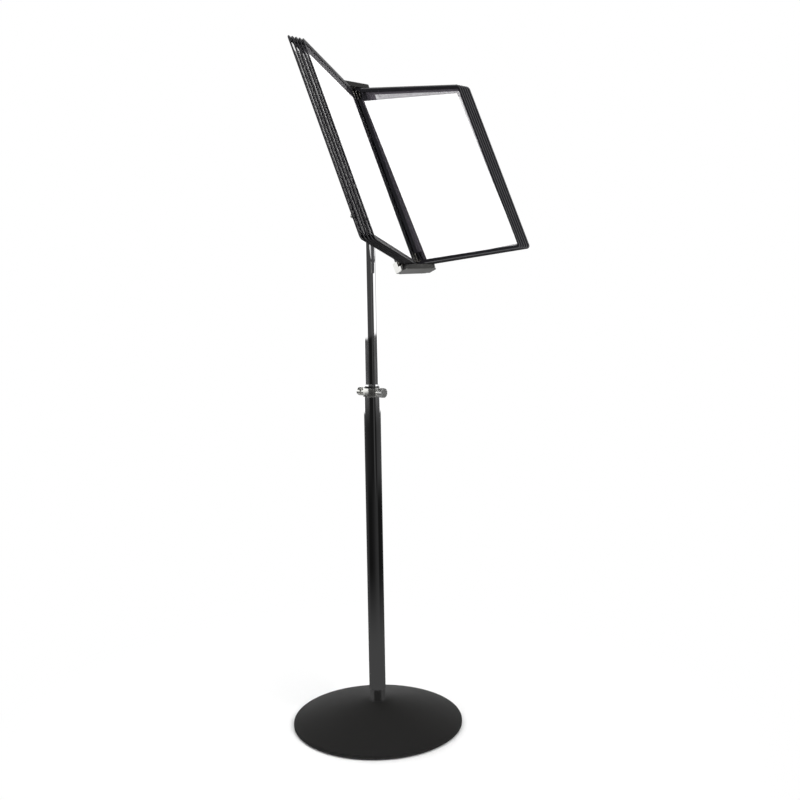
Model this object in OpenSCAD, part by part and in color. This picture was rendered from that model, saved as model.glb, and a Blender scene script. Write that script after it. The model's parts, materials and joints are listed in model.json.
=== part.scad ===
// Floor-standing flip display: a round weighted foot, a telescoping mast that turns,
// and a tilting head with two fans of hinged A4 display pockets.
// Millimetres, +Z up. The origin is the centre of the foot on the floor, the mast runs
// along Z, and the reader stands on the -Y side.

/* [Foot] */
// Diameter of the foot
base_d = 302; // [260:2:360]
// Height of the foot's rim
rim_h = 8; // [6:0.5:12]
// Height of the dome where the mast leaves it
dome_h = 44; // [36:1:52]

/* [Mast] */
// Outside diameter of the lower tube
outer_d = 29; // [28:0.5:34]
// Outside diameter of the sliding upper tube
inner_d = 24.5; // [23:0.5:25]
// Height of the lower tube's mouth
mouth_z = 607; // [520:1:700]
// Height of the tilt axis
tilt_z = 900; // [880:1:960]
// Length of the upper tube
inner_len = 700; // [620:5:740]

/* [Head] */
// How far the head leans back from upright, in degrees
lean = 24; // [0:1:50]
// Distance from the tilt axis forward to the row of hinge pins
row_y = 60; // [56:1:80]
// Distance from the tilt axis down to the lower ends of the pages
page_drop = 117.6; // [100:0.5:150]
// Length of the two hinge brackets
bracket_w = 91; // [88:1:110]

/* [Pages] */
// Width of a page from its hinge axis to its free edge
page_w = 233; // [225:1:250]
// Height of a page
page_h = 324; // [312:1:335]
// Thickness of a page's border
page_t = 1.6; // [1.4:0.1:1.8]
// Distance between neighbouring hinge pins
pitch = 7.7; // [7.5:0.1:9]
// Angle of the left pages forward of the row, in degrees
left_angle = 24.5; // [18:0.5:45]
// Angle of the right pages forward of the row, in degrees
right_angle = 15.6; // [15:0.1:45]

/* [Hidden] */
$fn = 64;
pages = 10;
half = pages / 2;

function two_digits(i) = i < 10 ? str("0", i) : str(i);
function page_names(stem) = [for (i = [1:pages]) str(stem, "_", two_digits(i))];

slack = 0.05;              // radial clearance of every running fit
over = 1;                  // how far a cutting tool runs past a face
flush = 0.1;               // gap between faces that slide on each other

// Foot
pad_h = 2.5;
pad_r = base_d / 2 - 8;
shell_t = 1.5;
rim_r = 2.5;
rim_turn = 20;             // degrees from the rim's crown to where the dome meets it
rim_c = [base_d / 2 - rim_r, rim_h - rim_r + 0.5];
shell_gap = 0.3;
weight_edge = 6;           // how far the weight stays inside the dome's foot
dome_in = [outer_d / 2 + 1.5, dome_h];
dome_out = rim_c + rim_r * [sin(rim_turn), cos(rim_turn)];
dome_bulge = 5;            // degrees between the dome's chord and its ends
dome_slope = atan((dome_in[1] - dome_out[1]) / (dome_out[0] - dome_in[0]));
dome_r = norm(dome_out - dome_in) / 2 / sin(dome_bulge);
dome_c = dome_in - dome_r * [sin(dome_slope - dome_bulge), cos(dome_slope - dome_bulge)];
dome_fn = 720;
tube_seat_z = dome_h - 9;
bolt_r = 5;
bolt_head_r = 8.5;
bolt_head_h = 5;
bolt_head_z = pad_h + 2;
bolt_end = 3;              // how far the foot bolt stays below the plug's top
washer_low_r = 10;
washer_low_h = 1.5;
well_r = 10.5;             // the well in the weight for the bolt's head
plug_h = 26;

// Mast
wall = 1.2;
outer_bore_r = outer_d / 2 - wall;
inner_bore_r = inner_d / 2 - wall;
lip_h = 6.5;
lip_r = outer_d / 2 - 1;
lip_sunk = 4;
collar_h = 14.6;
collar_z = mouth_z - 0.2 - collar_h;
collar_r = 15.4;
boss_r = 7;
boss_y = 18;
stud_z = collar_z + collar_h / 2;
stud_r = 3;
lock_r = 8.2;
lock_len = 9.5;
lock_flutes = 12;
flute_r = 1.1;
flute_out = 0.4;           // how far a flute's centre lies outside the knob
stud_gap = 0.3;            // from the stud's tip to the upper tube when slack
stud_root = 2;             // length of the stud inside the knob
cap_r = 7.3;
cap_neck = 4;
cap_neck_r = 5.1;
cap_len = 5.5;
cap_dome = 5.5;
cap_dome_r = (cap_r * cap_r + cap_dome * cap_dome) / 2 / cap_dome;
inner_top_z = tilt_z - 13;
inner_low_z = inner_top_z - inner_len;
bush_foot_h = 20;
bush_spigot_h = 15;

// Tilt joint
barrel_r = 13;
barrel_half = 14;
socket_wall = 1.5;
socket_h = 15;
washer_t = 1.5;
washer_r = 10;
cheek_t = 2;
cheek_x = barrel_half + washer_t + 2 * flush;
cheek_end_r = 12.5;
cheek_foot = 38;
cheek_tab = 16;
tilt_bolt_r = 3;
nut_af = 10;
nut_h = 5;
nut_dome_r = 4.6;
nut_collar = 1;
lever_hub_r = 8;
lever_hub_h = 11;
lever_cap = 3;             // closed end of the hub, past the bolt's tip
lever_arm_r = 4;
lever_reach = 16;

// Hinge brackets and the channel behind them
bracket_front = 5;
bracket_back = 14;
bracket_h = 8.5;
bracket_gap = 0.6;
bracket_corner = 8;
channel_w = 71;
channel_t = 1.5;
channel_flange = 8;
flange_end = 9;            // how far the flanges stop from the pages' ends
wall_front = 5;            // the brackets' raised back wall
wall_h = 9;
screw_r = 2;
screw_head_r = 3.6;
screw_head_h = 2.4;
screw_len = 9;
screw_tail = 1;            // thread that shows past the sheet it holds
bracket_screw_x = 28;
cheek_screw_z = 26;

// Pages
corner_r = 7;
hinge_lap = 1.1;           // border past the hinge axis: the rounded bead's radius
bead_r = 1.1;
hinge_bar = 6.3;
outer_bar = 5;
bottom_bar = 7.2;
top_bar = 8;
notch_w = 9;
notch_h = 21;
arm_h = 5;
block_w = 5.3;
block_h = 18;
block_foot = 4;            // where the hinge bar runs on past the corner block
strut_in = 2.5;            // the bottom corner's slanting strut
strut_out = 1.5;
strut_top = 2;
pin_r = 0.8;
pin_grip = 12;             // length of a pin inside the border
pin_reach = 5.6;           // length of a pin inside its bracket
pin_bore = 6.4;
sleeve_bite = 2.5;         // how far the films run into the border
film_out = 0.45;
film_in = 0.25;
sleeve_low = 2.9;
sleeve_top = page_h - top_bar + sleeve_bite;
sheet_w = 210;
sheet_h = 297;
sheet_t = 0.14;
sheet_a = 17;
sheet_drift = 1.6;         // how far a sheet that has turned has moved outward, per degree
// How far each loose sheet has turned in its pocket, in degrees
sheet_slip = [0.3, 0.8, 0, 0.5, 0, 1.9, 0.4, 1.2, 0, 0.8];

// ---- placing helpers ----

// The head's own frame: origin on the tilt axis, +Z along the hinge pins
module in_head() translate([0, 0, tilt_z]) rotate([-lean, 0, 0]) children();

// Head frame with its origin on the pin row at the pages' lower ends
module in_row() in_head() translate([0, -row_y, -page_drop]) children();

// A page's own frame: X from the hinge axis to the free edge, Z along the pins
module in_page(i)
    in_row() translate([(i - half - 0.5) * pitch, 0, 0])
        rotate([0, 0, i <= half ? 180 + left_angle : -right_angle]) children();

// A flat outline in a page's plane, between two distances from its middle plane
module page_slab(low, high)
    translate([0, high, 0]) rotate([90, 0, 0]) linear_extrude(high - low) children();

module along_y() rotate([-90, 0, 0]) children();

module along_x() rotate([0, 90, 0]) children();

module both_sides() {
    children();
    mirror([1, 0, 0]) children();
}

module tube(r_out, r_in, h) difference() {
    cylinder(r = r_out, h = h);
    translate([0, 0, -over]) cylinder(r = r_in, h = h + 2 * over);
}

// ---- foot ----

// Everything under a dome whose surface lies `inset` below the shell's outside
module dome_section(r_in, r_out, z_low, inset) intersection() {
    translate([r_in, z_low]) square([r_out - r_in, dome_h]);
    translate(dome_c) circle(r = dome_r - inset, $fn = dome_fn);
}

module floor_pad() color([0.06, 0.06, 0.06]) cylinder(r = pad_r, h = pad_h, $fn = 128);

module base_weight() color([0.2, 0.2, 0.2]) difference() {
    rotate_extrude($fn = 128)
        dome_section(0, dome_out[0] - weight_edge, pad_h, shell_t + shell_gap);
    translate([0, 0, tube_seat_z]) cylinder(r = outer_d / 2, h = dome_h);
    translate([0, 0, pad_h - over]) cylinder(r = bolt_r, h = dome_h);
    translate([0, 0, pad_h - over])
        cylinder(r = well_r, h = bolt_head_z + bolt_head_h + washer_low_h - pad_h + over);
}

module rim_section() {
    intersection() {
        translate(rim_c) circle(r = rim_r);
        translate([rim_c[0] - shell_t, rim_c[1]]) square(base_d);
    }
    translate([base_d / 2 - shell_t, pad_h]) square([shell_t, rim_c[1] - pad_h]);
}

module base_shell() color([0.09, 0.09, 0.1]) rotate_extrude($fn = 128) {
    rim_section();
    difference() {
        dome_section(outer_d / 2, dome_out[0], 0, 0);
        dome_section(0, base_d, -over, shell_t);
    }
}

module base_fixings() color([0.6, 0.6, 0.62]) {
    translate([0, 0, bolt_head_z]) cylinder(r = bolt_head_r, h = bolt_head_h, $fn = 6);
    translate([0, 0, bolt_head_z + bolt_head_h]) tube(washer_low_r, bolt_r, washer_low_h);
    translate([0, 0, bolt_head_z])
        cylinder(r = bolt_r, h = tube_seat_z + plug_h - bolt_head_z - bolt_end);
    translate([0, 0, tube_seat_z]) tube(outer_bore_r, bolt_r, plug_h);
}

// ---- mast ----

module outer_tube() color([0.8, 0.8, 0.82]) difference() {
    translate([0, 0, tube_seat_z]) tube(outer_d / 2, outer_bore_r, mouth_z - tube_seat_z);
    translate([0, 0, stud_z]) rotate([90, 0, 0]) cylinder(r = stud_r + slack, h = outer_d);
    translate([0, 0, stud_z]) along_y() cylinder(r = stud_r, h = outer_d);
}

module mouth_bush() color([0.55, 0.55, 0.57]) {
    translate([0, 0, mouth_z]) tube(lip_r, inner_d / 2 + slack, lip_h);
    translate([0, 0, mouth_z - lip_sunk]) tube(outer_bore_r, inner_d / 2 + slack, lip_sunk);
}

module clamp_collar() color([0.82, 0.82, 0.84]) difference() {
    union() {
        translate([0, 0, collar_z]) tube(collar_r, outer_d / 2, collar_h);
        for (turn = [0, 180]) translate([0, 0, stud_z]) rotate([0, 0, turn])
            rotate([90, 0, 0]) cylinder(r = boss_r, h = boss_y);
    }
    translate([0, 0, collar_z - over]) cylinder(r = outer_d / 2, h = collar_h + 2 * over);
    translate([0, 0, stud_z]) rotate([90, 0, 0]) cylinder(r = stud_r + slack, h = boss_y + over);
    translate([0, 0, stud_z]) along_y() cylinder(r = stud_r, h = boss_y + over);
}

// Round cap screw that pins the collar to the lower tube, at the back
module collar_cap_screw() color([0.85, 0.85, 0.87]) translate([0, 0, stud_z]) along_y() {
    translate([0, 0, outer_bore_r]) cylinder(r = stud_r, h = boss_y + cap_neck - outer_bore_r);
    translate([0, 0, boss_y]) cylinder(r = cap_neck_r, h = cap_neck);
    translate([0, 0, boss_y + cap_neck]) rotate_extrude() {
        square([cap_r, cap_len]);
        translate([0, cap_len]) intersection() {
            square([cap_r, cap_dome]);
            translate([0, cap_dome - cap_dome_r]) circle(r = cap_dome_r);
        }
    }
}

// Fluted thumb knob whose stud presses on the upper tube, at the front
module lock_knob() color([0.3, 0.3, 0.31]) translate([0, 0, stud_z]) rotate([90, 0, 0]) {
    translate([0, 0, inner_d / 2 + stud_gap])
        cylinder(r = stud_r, h = boss_y - inner_d / 2 - stud_gap + stud_root);
    translate([0, 0, boss_y + flush]) linear_extrude(lock_len) difference() {
        circle(r = lock_r);
        for (i = [1:lock_flutes]) rotate([0, 0, i * 360 / lock_flutes])
            translate([lock_r + flute_out, 0]) circle(r = flute_r, $fn = 24);
    }
}

module guide_bush() color([0.85, 0.85, 0.8]) {
    translate([0, 0, inner_low_z - flush - bush_foot_h])
        cylinder(r = outer_bore_r - slack, h = bush_foot_h);
    translate([0, 0, inner_low_z - flush - over])
        cylinder(r = inner_bore_r - slack, h = bush_spigot_h + over);
}

module inner_tube() color([0.8, 0.8, 0.82])
    translate([0, 0, inner_low_z]) tube(inner_d / 2, inner_bore_r, inner_len);

// T-shaped fitting on the mast top: a socket for the tube and a cross barrel for the bolt
module tilt_barrel() color([0.12, 0.12, 0.12]) difference() {
    union() {
        translate([-barrel_half, 0, tilt_z]) along_x() cylinder(r = barrel_r, h = 2 * barrel_half);
        translate([0, 0, inner_top_z - socket_h])
            cylinder(r = inner_d / 2 + socket_wall, h = socket_h + barrel_r / 2);
    }
    translate([0, 0, inner_top_z - socket_h - over])
        cylinder(r = inner_d / 2, h = socket_h + over);
    translate([-barrel_half - over, 0, tilt_z]) along_x()
        cylinder(r = tilt_bolt_r + slack, h = 2 * (barrel_half + over));
}

// ---- head ----

// The four bracket screws and the four cheek screws, entered from behind
module at_bracket_screws() for (x = [-bracket_screw_x, bracket_screw_x])
    for (z = [-bracket_gap - bracket_h / 2, page_h + bracket_gap + bracket_h / 2])
        translate([x, bracket_back, z]) along_y() children();

module at_cheek_screws() for (side = [-1, 1]) for (dz = [-cheek_screw_z, cheek_screw_z])
    translate([side * (cheek_x + cheek_t / 2 + cheek_tab / 2), bracket_back + channel_t, page_drop + dz])
        along_y() children();

module spine_channel() color([0.07, 0.07, 0.07]) in_row() difference() {
    union() {
        translate([-channel_w / 2, bracket_back, -bracket_gap - bracket_h])
            cube([channel_w, channel_t, page_h + 2 * (bracket_gap + bracket_h)]);
        both_sides() translate([channel_w / 2 - channel_t, bracket_back - channel_flange, flange_end])
            cube([channel_t, channel_flange + over / 2, page_h - 2 * flange_end]);
    }
    at_bracket_screws() translate([0, 0, -over]) cylinder(r = screw_r, h = channel_t + 2 * over);
    at_cheek_screws() translate([0, 0, -channel_t - over])
        cylinder(r = screw_r, h = channel_t + 2 * over);
}

module cheek_outline() {
    polygon([[bracket_back + channel_t, page_drop - cheek_foot],
             [bracket_back + channel_t, page_drop + cheek_foot],
             [row_y, page_drop + cheek_end_r], [row_y, page_drop - cheek_end_r]]);
    translate([row_y, page_drop]) circle(r = cheek_end_r);
}

module tilt_cheek() difference() {
    union() {
        translate([cheek_x, 0, 0]) rotate([90, 0, 90]) linear_extrude(cheek_t) cheek_outline();
        translate([cheek_x, bracket_back + channel_t, page_drop - cheek_foot])
            cube([cheek_tab, cheek_t, 2 * cheek_foot]);
    }
    translate([cheek_x - over, row_y, page_drop]) along_x()
        cylinder(r = tilt_bolt_r, h = cheek_t + 2 * over);
}

module tilt_cheeks() color([0.08, 0.08, 0.08]) in_row() difference() {
    both_sides() tilt_cheek();
    at_cheek_screws() translate([0, 0, -over]) cylinder(r = screw_r, h = cheek_t + 2 * over);
}

// Outline of a hinge bracket from above, with rounded ends at the front
module bracket_outline() {
    corner_y = bracket_corner - bracket_front;
    translate([-bracket_w / 2, corner_y]) square([bracket_w, bracket_back - corner_y]);
    translate([bracket_corner - bracket_w / 2, -bracket_front])
        square([bracket_w - 2 * bracket_corner, bracket_corner + over]);
    for (side = [-1, 1]) translate([side * (bracket_w / 2 - bracket_corner), corner_y])
        circle(r = bracket_corner);
}

// A hinge bracket whose pin face lies at z = 0: a bar below it and a wall behind the pins
module hinge_bracket() difference() {
    union() {
        translate([0, 0, -bracket_h]) linear_extrude(bracket_h) bracket_outline();
        translate([0, 0, -over]) linear_extrude(wall_h + over) intersection() {
            bracket_outline();
            translate([-bracket_w, wall_front]) square([2 * bracket_w, bracket_back]);
        }
    }
    for (i = [1:pages]) translate([(i - half - 0.5) * pitch, 0, -pin_bore])
        cylinder(r = pin_r + slack, h = pin_bore + over, $fn = 24);
    for (x = [-bracket_screw_x, bracket_screw_x])
        translate([x, bracket_back - screw_len + channel_t, -bracket_h / 2]) along_y()
            cylinder(r = screw_r, h = screw_len);
}

module bottom_bracket() color([0.05, 0.05, 0.05]) in_row()
    translate([0, 0, -bracket_gap]) hinge_bracket();

module top_bracket() color([0.05, 0.05, 0.05]) in_row()
    translate([0, 0, page_h + bracket_gap]) mirror([0, 0, 1]) hinge_bracket();

// A pan-head screw whose head sits above z = 0
module pan_screw(length) {
    translate([0, 0, -length]) cylinder(r = screw_r, h = length, $fn = 32);
    cylinder(r = screw_head_r, h = screw_head_h, $fn = 32);
}

module head_screws() color([0.5, 0.5, 0.52]) in_row() {
    at_bracket_screws() translate([0, 0, channel_t]) pan_screw(screw_len);
    at_cheek_screws() translate([0, 0, cheek_t]) pan_screw(cheek_t + channel_t + screw_tail);
}

// Clamp bolt with a domed nut on its right end; the lever's hub screws onto its left end
module tilt_bolt() color([0.8, 0.8, 0.82]) in_head() {
    translate([-cheek_x - cheek_t - lever_hub_h + lever_cap, 0, 0]) along_x()
        cylinder(r = tilt_bolt_r, h = 2 * (cheek_x + cheek_t) + lever_hub_h - lever_cap);
    translate([cheek_x + cheek_t, 0, 0]) along_x() {
        cylinder(r = nut_af / 2 / cos(30), h = nut_h, $fn = 6);
        translate([0, 0, nut_h]) cylinder(r = nut_dome_r, h = nut_collar);
        translate([0, 0, nut_h + nut_collar]) sphere(r = nut_dome_r, $fn = 48);
    }
}

module tilt_washers() color([0.9, 0.9, 0.88]) in_head() both_sides()
    translate([barrel_half + flush, 0, 0]) along_x() tube(washer_r, tilt_bolt_r, washer_t);

// Clamping lever: a hub on the bolt and a short arm that points straight back
module tilt_lever() color([0.3, 0.3, 0.3]) in_head() difference() {
    union() {
        translate([-cheek_x - cheek_t - flush - lever_hub_h, 0, 0]) along_x()
            cylinder(r = lever_hub_r, h = lever_hub_h);
        translate([-cheek_x - cheek_t - flush - lever_hub_h / 2, 0, 0]) rotate([lean, 0, 0]) {
            along_y() cylinder(r = lever_arm_r, h = lever_reach);
            translate([0, lever_reach, 0]) sphere(r = lever_arm_r);
        }
    }
    translate([-cheek_x - cheek_t - lever_hub_h + lever_cap - flush, 0, 0]) along_x()
        cylinder(r = tilt_bolt_r + slack, h = lever_hub_h);
}

// ---- pages ----

module page_outline() {
    square([page_w - corner_r, page_h]);
    translate([page_w - 2 * corner_r, corner_r]) square([2 * corner_r, page_h - 2 * corner_r]);
    for (b = [corner_r, page_h - corner_r])
        translate([page_w - corner_r, b]) circle(r = corner_r);
}

// Solid corners beside the two notches: a block at the top and a slim strut at the bottom
module notch_corners() {
    translate([notch_w, page_h - block_h]) square([block_w, block_h]);
    translate([hinge_bar - over, page_h - block_h - block_foot])
        square([notch_w, block_foot + over / 2]);
    polygon([[hinge_bar - strut_in, notch_h + strut_top], [hinge_bar, notch_h + strut_top],
             [notch_w + strut_out, arm_h], [notch_w - strut_in, arm_h]]);
}

module window() difference() {
    union() {
        translate([hinge_bar, bottom_bar])
            square([page_w - outer_bar - hinge_bar, page_h - top_bar - bottom_bar]);
        for (b = [arm_h, page_h - notch_h])
            translate([-2 * bead_r, b]) square([notch_w + 2 * bead_r, notch_h - arm_h]);
    }
    notch_corners();
}

// Where the two films lie: inside the window and a little way into the border
module sleeve_outline() difference() {
    translate([hinge_bar, sleeve_low])
        square([page_w - outer_bar + sleeve_bite - hinge_bar, sleeve_top - sleeve_low]);
    translate([hinge_bar - over, page_h - block_h - block_foot])
        square([notch_w + block_w, block_h + block_foot]);
    translate([hinge_bar - over, 0]) square([notch_w - over, notch_h + strut_top]);
}

module page_frame(i) color([0.09, 0.09, 0.1]) in_page(i) difference() {
    union() {
        page_slab(-page_t / 2, page_t / 2) difference() {
            page_outline();
            window();
        }
        for (span = [[0, arm_h], [notch_h, page_h - notch_h], [page_h - arm_h, page_h]])
            translate([0, 0, span[0]]) cylinder(r = bead_r, h = span[1] - span[0], $fn = 32);
    }
    page_slab(-film_out, film_out) sleeve_outline();
    page_pin_pair();
}

module page_pin_pair() {
    pin_len = pin_reach + bracket_gap + notch_h + pin_grip;
    for (z = [-bracket_gap - pin_reach, page_h - notch_h - pin_grip])
        translate([0, 0, z]) cylinder(r = pin_r, h = pin_len, $fn = 24);
}

module page_sleeve(i) color([0.85, 0.85, 0.9, 0.4]) in_page(i) {
    page_slab(film_in, film_out) sleeve_outline();
    page_slab(-film_out, -film_in) sleeve_outline();
}

module page_sheet(i) color([0.96, 0.96, 0.95]) in_page(i) page_slab(-sheet_t / 2, sheet_t / 2)
    translate([sheet_a + sheet_drift * sheet_slip[i - 1], sleeve_low])
        rotate([0, 0, sheet_slip[i - 1]]) square([sheet_w, sheet_h]);

module page_pins(i) color([0.75, 0.75, 0.76]) in_page(i) page_pin_pair();

// ---- assembly ----

floor_pad();
base_weight();
base_shell();
base_fixings();
outer_tube();
mouth_bush();
clamp_collar();
collar_cap_screw();
lock_knob();
guide_bush();
inner_tube();
tilt_barrel();
spine_channel();
tilt_cheeks();
top_bracket();
bottom_bracket();
head_screws();
tilt_bolt();
tilt_washers();
tilt_lever();
for (i = [1:pages]) {
    page_frame(i);
    page_sleeve(i);
    page_sheet(i);
    page_pins(i);
}
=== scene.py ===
"""Looks of the sign stand: a floor-standing flip display with ten hinged A4 pockets."""
import json
import math

import bpy
from mathutils import Matrix, Vector


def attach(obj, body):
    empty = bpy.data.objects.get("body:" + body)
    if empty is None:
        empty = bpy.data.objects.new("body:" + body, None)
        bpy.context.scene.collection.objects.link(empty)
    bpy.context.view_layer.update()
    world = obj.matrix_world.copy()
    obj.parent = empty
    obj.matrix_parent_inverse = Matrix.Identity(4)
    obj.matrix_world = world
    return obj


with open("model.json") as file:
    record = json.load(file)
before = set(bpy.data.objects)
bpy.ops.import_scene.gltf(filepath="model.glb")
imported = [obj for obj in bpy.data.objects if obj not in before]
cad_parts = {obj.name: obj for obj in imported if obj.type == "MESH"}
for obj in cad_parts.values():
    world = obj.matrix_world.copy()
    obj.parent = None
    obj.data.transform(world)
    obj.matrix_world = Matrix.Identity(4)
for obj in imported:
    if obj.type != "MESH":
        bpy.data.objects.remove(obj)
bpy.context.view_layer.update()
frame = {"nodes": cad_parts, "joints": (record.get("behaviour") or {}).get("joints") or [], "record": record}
nodes = frame["nodes"]

MM = 0.001
PAGES = [f"{i:02d}" for i in range(1, 11)]
FILM_LAYERS = 64           # enough for a look through all the pockets' films

scene = bpy.context.scene
scene.view_settings.view_transform = "Standard"
scene.cycles.transparent_max_bounces = FILM_LAYERS


# ---- node helpers ----

class Nodes:
    """A small writer for one node tree."""

    def __init__(self, tree):
        self.tree = tree

    def node(self, kind, **settings):
        made = self.tree.nodes.new(kind)
        for key, value in settings.items():
            setattr(made, key, value)
        return made

    def link(self, a, b):
        self.tree.links.new(a, b)

    def fill(self, socket, value):
        """Link what comes from another node, and set anything else on the socket."""
        if isinstance(value, bpy.types.NodeSocket):
            self.link(value, socket)
        else:
            socket.default_value = value

    def math(self, kind, *values):
        made = self.node("ShaderNodeMath", operation=kind)
        for socket, value in zip(made.inputs, values):
            self.fill(socket, value)
        return made.outputs[0]

    def remap(self, value, start, end=(0.0, 1.0), **settings):
        """Carry the range start over to the range end, and stop at its limits."""
        made = self.node("ShaderNodeMapRange", **settings)
        for key, number in zip(("From Min", "From Max", "To Min", "To Max"), (*start, *end)):
            made.inputs[key].default_value = number
        self.link(value, made.inputs["Value"])
        return made.outputs["Result"]

    def smooth(self, value, start, end=(0.0, 1.0)):
        return self.remap(value, start, end, interpolation_type="SMOOTHSTEP")

    def noise(self, vector, scale, detail, rough, distortion=0.0):
        made = self.node("ShaderNodeTexNoise")
        for key, number in zip(("Scale", "Detail", "Roughness", "Distortion"),
                               (scale, detail, rough, distortion)):
            made.inputs[key].default_value = number
        self.link(vector, made.inputs["Vector"])
        return made.outputs["Fac"]


class Finish(Nodes):
    """The nodes of one material, in the object's own coordinates."""

    def __init__(self, name):
        self.material = bpy.data.materials.new(name)
        self.material.use_nodes = True
        super().__init__(self.material.node_tree)
        self.bsdf = self.tree.nodes["Principled BSDF"]
        self.coords = self.node("ShaderNodeTexCoord").outputs["Object"]

    def grain(self, scale, detail=3.0, rough=0.5, stretch=None, distortion=0.0):
        vector = self.coords
        if stretch:
            mapping = self.node("ShaderNodeMapping")
            mapping.inputs["Scale"].default_value = stretch
            self.link(self.coords, mapping.inputs["Vector"])
            vector = mapping.outputs["Vector"]
        return self.noise(vector, scale, detail, rough, distortion)

    def mix(self, fac, a, b):
        made = self.node("ShaderNodeMix", data_type="RGBA")
        self.link(fac, made.inputs["Factor"])
        for key, colour in (("A", a), ("B", b)):
            self.fill(made.inputs[key], (*colour, 1.0) if isinstance(colour, tuple) else colour)
        return made.outputs["Result"]

    def edge_wear_and_highlight(self, start, strength):
        """The strength along sharp outer edges, and 0 elsewhere."""
        sharp = self.node("ShaderNodeNewGeometry").outputs["Pointiness"]
        return self.math("MULTIPLY", self.remap(sharp, start), strength)

    def bump(self, height, strength, depth):
        made = self.node("ShaderNodeBump")
        made.inputs["Strength"].default_value = strength
        made.inputs["Distance"].default_value = depth
        self.link(height, made.inputs["Height"])
        return made.outputs["Normal"]

    def set(self, **values):
        for key, value in values.items():
            self.fill(self.bsdf.inputs[key.replace("_", " ")], value)
        return self.material


def grey(level):
    return (level, level, level)


def shade(colour, factor):
    return tuple(c * factor for c in colour)


# ---- materials, one for each slot of the record and one for the seams, painted lighter as a highlight ----

BROAD = (0.3, 0.7)         # the part of a noise's range that a finish follows


def chrome(name, tint, rough, streak):
    """Plated steel: polishing streaks along the part, faint smudges and small pits."""
    g = Finish(name)
    fine = g.grain(900, 2, stretch=(1.0, 1.0, 0.02))
    smudge = g.grain(14, 4, 0.6, distortion=0.6)
    pit = g.remap(g.grain(420, 2, 0.7), (0.74, 0.8))
    dull = g.remap(smudge, (0.45, 0.75), (rough, rough + 0.05))
    dull = g.math("ADD", dull, g.remap(fine, BROAD, (0.0, streak)))
    dull = g.math("ADD", dull, g.math("MULTIPLY", pit, 0.2))
    return g.set(Base_Color=g.mix(pit, tint, shade(tint, 0.55)), Metallic=1.0, Roughness=dull,
                 Normal=g.bump(fine, 0.012, 0.2 * MM))


def powder_coat(name):
    """Black satin powder coat: orange-peel skin, faint dust, edges worn a little lighter."""
    g = Finish(name)
    peel = g.grain(760, 3, 0.55)
    cloud = g.grain(7, 4, 0.6)
    dust = g.remap(g.grain(1900, 1), (0.7, 0.8), (0.0, 0.5))
    base = g.mix(cloud, (0.0145, 0.0142, 0.0138), (0.0185, 0.0183, 0.018))
    base = g.mix(dust, base, grey(0.06))
    base = g.mix(g.edge_wear_and_highlight((0.53, 0.6), 0.35), base, (0.09, 0.09, 0.088))
    return g.set(Base_Color=base, Roughness=g.remap(cloud, BROAD, (0.5, 0.6)),
                 Specular_IOR_Level=0.05, Normal=g.bump(peel, 0.16, 0.4 * MM))


def plastic(name, dark, light, rough, grain, specular=0.5, bump=0.08, worn=(0.16, 0.16, 0.17)):
    """Moulded plastic: mottled colour, fine spark-eroded grain, and lighter edges that are partly rubbed
    wear and partly a painted highlight.
    """
    g = Finish(name)
    fine = g.grain(grain, 2)
    cloud = g.grain(22, 4, 0.6)
    # Sharp edges turn lighter: partly rubbed wear, partly a painted highlight along the edges.
    base = g.mix(g.edge_wear_and_highlight((0.52, 0.62), 0.4), g.mix(cloud, dark, light), worn)
    return g.set(Base_Color=base, Specular_IOR_Level=specular,
                 Roughness=g.remap(cloud, BROAD, (rough - 0.05, rough + 0.06)),
                 Normal=g.bump(fine, bump, 0.2 * MM))


def film(name):
    """Clear soft pocket film: a little milky, with shallow waves."""
    g = Finish(name)
    wave = g.grain(9, 2, distortion=0.4)
    scuff = g.grain(160, 3, 0.6)
    base = g.mix(wave, (0.13, 0.115, 0.14), (0.18, 0.165, 0.19))
    return g.set(Base_Color=base, Roughness=g.remap(scuff, BROAD, (0.05, 0.13)), Alpha=0.05,
                 Normal=g.bump(wave, 0.12, 4 * MM))


def paper(name):
    """White printing paper: fibres, a slightly uneven tone."""
    g = Finish(name)
    fibre = g.grain(2400, 4, 0.65)
    cloud = g.grain(30, 3, 0.6)
    return g.set(Base_Color=g.mix(cloud, (0.93, 0.93, 0.925), grey(0.95)),
                 Roughness=g.remap(fibre, BROAD, (0.82, 0.92)), Sheen_Weight=0.08,
                 Specular_IOR_Level=0.25, Normal=g.bump(fibre, 0.05, 0.08 * MM))


def bare_metal(name, tint, rough, stretch):
    """Zinc-plated or drawn steel: fine lines one way and mottled plating."""
    g = Finish(name)
    lines = g.grain(600, 3, 0.6, stretch)
    cloud = g.grain(55, 4, 0.6)
    return g.set(Base_Color=g.mix(cloud, shade(tint, 0.82), tint), Metallic=1.0,
                 Roughness=g.remap(lines, BROAD, (rough - 0.08, rough + 0.1)),
                 Normal=g.bump(lines, 0.08, 0.2 * MM))


def soft_matte(name, dark, light, grain, rough):
    """Rubber, nylon and cast parts: matte with a coarse grain."""
    g = Finish(name)
    coarse = g.grain(grain, 4, 0.7)
    return g.set(Base_Color=g.mix(coarse, dark, light),
                 Roughness=g.remap(coarse, BROAD, (rough - 0.08, rough + 0.08)),
                 Normal=g.bump(coarse, 0.3, 0.6 * MM))


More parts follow.
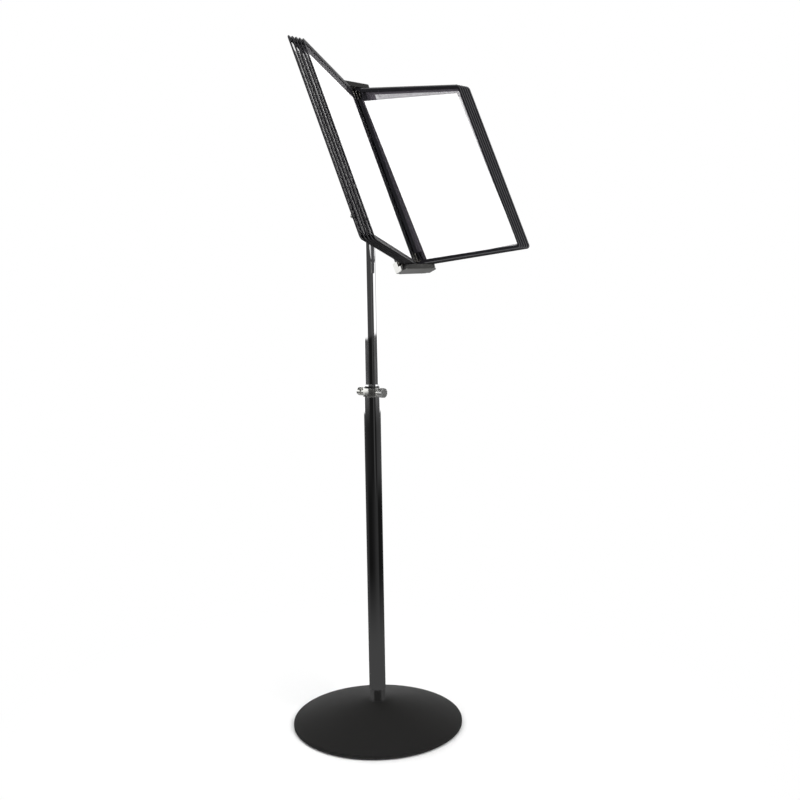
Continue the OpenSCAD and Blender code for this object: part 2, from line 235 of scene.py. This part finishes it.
LOOKS = {
    "rubber_pad": soft_matte("rubber_pad", grey(0.012), grey(0.03), grain=500, rough=0.85),
    "cast_iron": soft_matte("cast_iron", grey(0.05), grey(0.11), grain=180, rough=0.7),
    "nylon": soft_matte("nylon", (0.62, 0.62, 0.58), (0.72, 0.72, 0.68), grain=300, rough=0.55),
    "black_powder_coat": powder_coat("black_powder_coat"),
    "zinc_steel": bare_metal("zinc_steel", (0.82, 0.79, 0.72), rough=0.26,
                             stretch=(1.0, 1.0, 0.1)),
    "chrome_tube": chrome("chrome_tube", (0.77, 0.77, 0.775), rough=0.012, streak=0.01),
    "chrome_fitting": chrome("chrome_fitting", (0.84, 0.84, 0.80), rough=0.22, streak=0.05),
    "dark_chrome": chrome("dark_chrome", (0.55, 0.55, 0.54), rough=0.20, streak=0.06),
    "bracket_chrome": chrome("bracket_chrome", (0.66, 0.66, 0.64), rough=0.14, streak=0.05),
    "black_steel": plastic("black_steel", grey(0.012), grey(0.02), rough=0.38, grain=700,
                           bump=0.15),
    # The page border's lighter edge colour is partly a painted highlight along its rims.
    "page_border": plastic("page_border", (0.006, 0.0058, 0.007), (0.010, 0.0095, 0.0115),
                           rough=0.42, grain=1100, specular=0.08, bump=0.02,
                           worn=(0.022, 0.022, 0.026)),
    # The seams are the border's black plastic painted several times lighter: a painted highlight on the seam
    # beads.
    "seam_painted_highlight": plastic("seam_painted_highlight", (0.05, 0.05, 0.052), (0.075, 0.075, 0.077),
                           rough=0.42, grain=1100, specular=0.2, bump=0.02,
                           worn=(0.09, 0.09, 0.093)),
    "clear_film": film("clear_film"),
    "white_paper": paper("white_paper"),
}

slot_of = {part["node"]: part["material_slot"] for part in frame["record"]["subparts"]}
for name, obj in nodes.items():
    obj.data.materials.clear()
    obj.data.materials.append(LOOKS[slot_of[name]])


# ---- softened edges on the CAD nodes ----

WELD_GAP = 0.005 * MM
SHARP = 30                 # degrees between two faces, above which their edge is rounded

# Each rounded node's edge radius in mm.
ROUNDED = {"top_bracket": 1.4, "bottom_bracket": 1.4, "clamp_collar": 0.5,
           "lock_knob": 0.6, "collar_cap_screw": 0.6, "mouth_bush": 1.0}
BORDER_ROUND = 0.3


def soften(obj, width, segments):
    weld = obj.modifiers.new("weld", "WELD")
    weld.merge_threshold = WELD_GAP
    bevel = obj.modifiers.new("bevel", "BEVEL")
    bevel.width = width
    bevel.segments = segments
    bevel.limit_method = "ANGLE"
    bevel.angle_limit = math.radians(SHARP)


# ---- welded seams along the page borders ----

SEAM_INSET = 1.3 * MM      # from the border's outer edge to the middle of the seam
SEAM_HALF = 0.8 * MM       # half the seam's width
SEAM_RISE = 0.12 * MM      # how far it stands above the border's face
SEAM_SUNK = 0.2 * MM       # how far its foot reaches into the border
SEAM_CORNER = 7 * MM       # the border's corner radius
SEAM_START = 12 * MM       # the seam starts clear of the hinge's notches
SEAM_STEPS = 6             # steps round each corner
SEAM_SECTION = ((-SEAM_HALF, -SEAM_SUNK), (-SEAM_HALF, 0), (-SEAM_HALF / 2, SEAM_RISE),
                (SEAM_HALF / 2, SEAM_RISE), (SEAM_HALF, 0), (SEAM_HALF, -SEAM_SUNK))


class PagePlane:
    """A page's hinge axis and the extent of its border, read from the frame."""

    def __init__(self, number):
        joint = next(j for j in frame["joints"] if j["name"] == "page_turn_" + number)
        self.base = Vector(joint["pos_m"])
        self.pin = Vector(joint["axis"]).normalized()
        self.pin *= math.copysign(1, self.pin.z)
        points = [v.co - self.base for v in nodes["page_frame_" + number].data.vertices]
        along = [p.dot(self.pin) for p in points]
        flat = [p - self.pin * a for p, a in zip(points, along)]
        far = max(f.length for f in flat)
        self.out = sum((f for f in flat if f.length > far - MM), Vector()).normalized()
        self.across = self.pin.cross(self.out)
        self.reach = max(f.dot(self.out) for f in flat)
        self.low, self.high = min(along), max(along)
        self.half = max(abs(f.dot(self.across)) for f in flat if f.dot(self.out) > self.reach / 2)

    def point(self, a, b, off):
        """The point a outward from the hinge, b up along it and off the page's middle plane."""
        return self.base + self.out * a + self.pin * b + self.across * off

    def seam_path(self):
        """Points of the seam in the page's plane, each with its outward normal."""
        radius = SEAM_CORNER - SEAM_INSET
        inner = self.reach - SEAM_CORNER
        path = [((SEAM_START, self.low + SEAM_INSET), (0, -1))]
        for centre, start in (((inner, self.low + SEAM_CORNER), -90),
                              ((inner, self.high - SEAM_CORNER), 0)):
            for i in range(SEAM_STEPS + 1):
                turn = math.radians(start + 90 * i / SEAM_STEPS)
                normal = (math.cos(turn), math.sin(turn))
                path.append(((centre[0] + radius * normal[0], centre[1] + radius * normal[1]),
                             normal))
        path.append(((SEAM_START, self.high - SEAM_INSET), (0, 1)))
        return path


def make_seams(number):
    """A low bead on each face of the border, as one piece that turns with the page."""
    page = PagePlane(number)
    path = page.seam_path()
    n = len(SEAM_SECTION)
    verts, faces = [], []
    for side in (1, -1):
        first = len(verts)
        for (a, b), normal in path:
            for shift, rise in SEAM_SECTION:
                verts.append(page.point(a + shift * normal[0], b + shift * normal[1],
                                        side * (page.half + rise)))
        last = len(verts) - n
        bead = []
        for here in range(first, last, n):
            there = here + n
            bead += [[here + k, here + (k + 1) % n, there + (k + 1) % n, there + k]
                     for k in range(n)]
        bead += [list(range(first + n - 1, first - 1, -1)), list(range(last, last + n))]
        faces += bead if side > 0 else [face[::-1] for face in bead]
    mesh = bpy.data.meshes.new("border_seams_" + number)
    mesh.from_pydata(verts, [], faces)
    piece = bpy.data.objects.new("border_seams_" + number, mesh)
    scene.collection.objects.link(piece)
    # The seam beads take the lighter seam material, a painted highlight.
    piece.data.materials.append(LOOKS["seam_painted_highlight"])
    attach(piece, "page_" + number)


# ---- floor ----

FLOOR_RADIUS = 30.0
FLOOR_STEPS = 96
GLOW_AT = (0.15, 0.7)      # distances from the middle, between which the glow takes over


def make_floor():
    """A pale disc: lit and shaded near the foot, and an even white further out."""
    mesh = bpy.data.meshes.new("floor")
    turns = [2 * math.pi * i / FLOOR_STEPS for i in range(FLOOR_STEPS)]
    mesh.from_pydata([(FLOOR_RADIUS * math.cos(t), FLOOR_RADIUS * math.sin(t), 0) for t in turns],
                     [], [list(range(FLOOR_STEPS))])
    floor = bpy.data.objects.new("floor", mesh)
    scene.collection.objects.link(floor)

    g = Finish("pale_floor")
    mesh.materials.append(g.set(Base_Color=(*grey(0.95), 1.0), Roughness=0.9,
                                Specular_IOR_Level=0.1))
    glow = g.node("ShaderNodeEmission")
    glow.inputs["Strength"].default_value = 1.0
    distance = g.node("ShaderNodeVectorMath", operation="LENGTH")
    g.link(g.coords, distance.inputs[0])
    blend = g.node("ShaderNodeMixShader")
    g.link(g.smooth(distance.outputs["Value"], GLOW_AT), blend.inputs["Fac"])
    g.link(g.bsdf.outputs["BSDF"], blend.inputs[1])
    g.link(glow.outputs["Emission"], blend.inputs[2])
    g.link(blend.outputs["Shader"], g.tree.nodes["Material Output"].inputs["Surface"])
    floor.visible_glossy = False


# ---- studio ----

# The studio that the polished parts mirror depends on direction alone. Bearings are in degrees
# round the stand: 0 is along FRONT, and 90 is along ASIDE, to its right. Heights are the z of a
# unit direction. There are white walls, a dark opening with one pale strip, and a dark floor
# that is paler on the right. The levels were set to match the photographed tubes.
FRONT = (-0.7665, -0.6422)
ASIDE = (0.6422, -0.7665)
WALLS = ((-180, 1.0), (-55, 1.0), (-49, 0.045), (14, 0.045), (20, 0.12), (26, 0.045),
         (52, 0.045), (58, 1.0), (92, 1.0), (99, 0.42), (109, 0.42), (117, 1.0), (180, 1.0))
FLOOR = ((-180, 0.07), (-125, 0.045), (-105, 0.028), (-60, 0.016), (-12, 0.010), (12, 0.012),
         (17, 0.060), (27, 0.060), (33, 0.010), (45, 0.012), (58, 0.046), (110, 0.058),
         (130, 0.06), (180, 0.07))
LOW_FLOOR = ((-180, 0.06), (-110, 0.04), (-75, 0.008), (-40, 0.008), (-10, 0.014), (20, 0.03),
             (45, 0.036), (60, 0.008), (120, 0.012), (180, 0.06))
WALL_LEVEL = 1.4
CEILING_LEVEL = 0.05
NEAR_LEVEL = 0.065         # the floor close to the stand
UNDER_LEVEL = 0.38         # steep directions, met in high views and on faces that look down

# Each pair is the height where a change starts and the height where it is complete.
CEILING_AT = (0.30, 0.42)
HORIZON_AT = (-0.0744, -0.0704)
LOW_FLOOR_AT = (-0.19, -0.23)
NEAR_AT = (-0.28, -0.36)
UNDER_AT = (-0.42, -0.50)

HORIZON_SLOPE = -0.002     # tilts the horizon a little towards ASIDE
HORIZON_DIP = 0.07         # how much lower it lies behind the stand
BEHIND = (-0.40, -0.55)    # a direction's share along FRONT, where the dip sets in

# Small bright clutter on the upper part of the floor, except straight in front.
CLUTTER_SCALE, CLUTTER_DETAIL, CLUTTER_ROUGH = 26, 5, 0.7
CLUTTER_CUT = (0.52, 0.66)
CLUTTER_LEVELS = (0.0, 0.30)
CLUTTER_HAZE = 0.045
CLUTTER_AT = (-0.16, -0.12)
NOT_IN_FRONT = (0.85, 0.65)


class Studio(Nodes):
    """The nodes of the world."""

    def along(self, x, y, heading):
        return self.math("ADD", self.math("MULTIPLY", x, heading[0]),
                         self.math("MULTIPLY", y, heading[1]))

    def blend(self, fac, a, b):
        made = self.node("ShaderNodeMix", data_type="FLOAT")
        for socket, value in zip(made.inputs[:1] + made.inputs[2:4], (fac, a, b)):
            self.fill(socket, value)
        return made.outputs[0]

    def table(self, turn, stops):
        """The stops' levels, looked up by bearing."""
        made = self.node("ShaderNodeValToRGB")
        ramp = made.color_ramp
        while len(ramp.elements) < len(stops):
            ramp.elements.new(0.5)
        for element, (bearing, level) in zip(ramp.elements, stops):
            element.position = bearing / 360 + 0.5
            element.color = (*grey(level), 1)
        self.link(turn, made.inputs["Fac"])
        return made.outputs["Color"]


def make_world():
    """White to the camera. Everything else is lit by the studio above."""
    world = bpy.data.worlds.new("studio")
    scene.world = world
    world.use_nodes = True
    w = Studio(world.node_tree)
    direction = w.node("ShaderNodeTexCoord").outputs["Generated"]
    split = w.node("ShaderNodeSeparateXYZ")
    w.link(direction, split.inputs[0])
    x, y, z = split.outputs
    facing, aside = w.along(x, y, FRONT), w.along(x, y, ASIDE)
    turn = w.math("MULTIPLY_ADD", w.math("ARCTAN2", aside, facing), 0.5 / math.pi, 0.5)

    wall = w.math("MULTIPLY", w.table(turn, WALLS), WALL_LEVEL)
    wall = w.blend(w.smooth(z, CEILING_AT), wall, CEILING_LEVEL)

    clutter = w.noise(direction, CLUTTER_SCALE, CLUTTER_DETAIL, CLUTTER_ROUGH)
    clutter = w.math("ADD", w.smooth(clutter, CLUTTER_CUT, CLUTTER_LEVELS), CLUTTER_HAZE)
    strip = w.math("MULTIPLY", w.smooth(z, CLUTTER_AT), w.smooth(facing, NOT_IN_FRONT))
    ground = w.math("MULTIPLY_ADD", clutter, strip, w.table(turn, FLOOR))
    ground = w.blend(w.smooth(z, LOW_FLOOR_AT), ground, w.table(turn, LOW_FLOOR))
    ground = w.blend(w.smooth(z, NEAR_AT), ground, NEAR_LEVEL)
    ground = w.blend(w.smooth(z, UNDER_AT), ground, UNDER_LEVEL)

    dip = w.math("MULTIPLY", w.smooth(facing, BEHIND), HORIZON_DIP)
    height = w.math("MULTIPLY_ADD", aside, HORIZON_SLOPE, w.math("ADD", z, dip))
    level = w.blend(w.smooth(height, HORIZON_AT), ground, wall)

    is_camera = w.node("ShaderNodeLightPath").outputs["Is Camera Ray"]
    background = w.tree.nodes["Background"]
    background.inputs["Color"].default_value = (1, 1, 1, 1)
    w.link(w.blend(is_camera, level, 1.0), background.inputs["Strength"])


# ---- lights ----

def make_light(name, place, aim, size, power, glossy=False):
    """A soft square light. Only a glossy one shows in polished parts."""
    data = bpy.data.lights.new(name, "AREA")
    data.shape = "SQUARE"
    data.size = size
    data.energy = power
    light = bpy.data.objects.new(name, data)
    light.location = place
    light.rotation_mode = "QUATERNION"
    light.rotation_quaternion = (Vector(aim) - Vector(place)).to_track_quat("-Z", "Y")
    light.visible_camera = False
    light.visible_glossy = glossy
    scene.collection.objects.link(light)


# ---- camera ----

CAMERA_PLACE = (-1.399, -1.172, 0.828)
CAMERA_YAW, CAMERA_DOWN, CAMERA_ROLL = 51.56, 7.59, -0.88     # degrees, the yaw from +Y to +X
CAMERA_LENS, CAMERA_SENSOR = 47.844, 36                       # mm


def make_camera():
    yaw, down, roll = (math.radians(a) for a in (CAMERA_YAW, CAMERA_DOWN, CAMERA_ROLL))
    forward = Vector((math.sin(yaw) * math.cos(down), math.cos(yaw) * math.cos(down),
                      -math.sin(down)))
    side = Vector((math.cos(yaw), -math.sin(yaw), 0))
    up = side.cross(forward)
    right = side * math.cos(roll) + up * math.sin(roll)
    top = up * math.cos(roll) - side * math.sin(roll)
    data = bpy.data.cameras.new("camera")
    data.sensor_width = CAMERA_SENSOR
    data.lens = CAMERA_LENS
    camera = bpy.data.objects.new("camera", data)
    turn = Matrix((right, top, -forward)).transposed()
    camera.matrix_world = Matrix.Translation(CAMERA_PLACE) @ turn.to_4x4()
    scene.collection.objects.link(camera)
    scene.camera = camera


# ---- everything together ----

make_floor()
make_world()
make_light("front", place=(-0.3, -2.6, 2.2), aim=(0, 0, 0.8), size=1.8, power=68)
make_light("side", place=(-2.4, 0.8, 2.2), aim=(0, 0, 0.7), size=1.6, power=24)
make_light("back", place=(0.8, 2.6, 2.2), aim=(0, 0, 0.7), size=1.6, power=33)
make_light("top", place=(0, 0, 3.2), aim=(0, 0, 0), size=2.4, power=46, glossy=True)
make_camera()

for name, width in ROUNDED.items():
    soften(nodes[name], width * MM, segments=3)
for number in PAGES:
    soften(nodes["page_frame_" + number], BORDER_ROUND * MM, segments=2)
    make_seams(number)
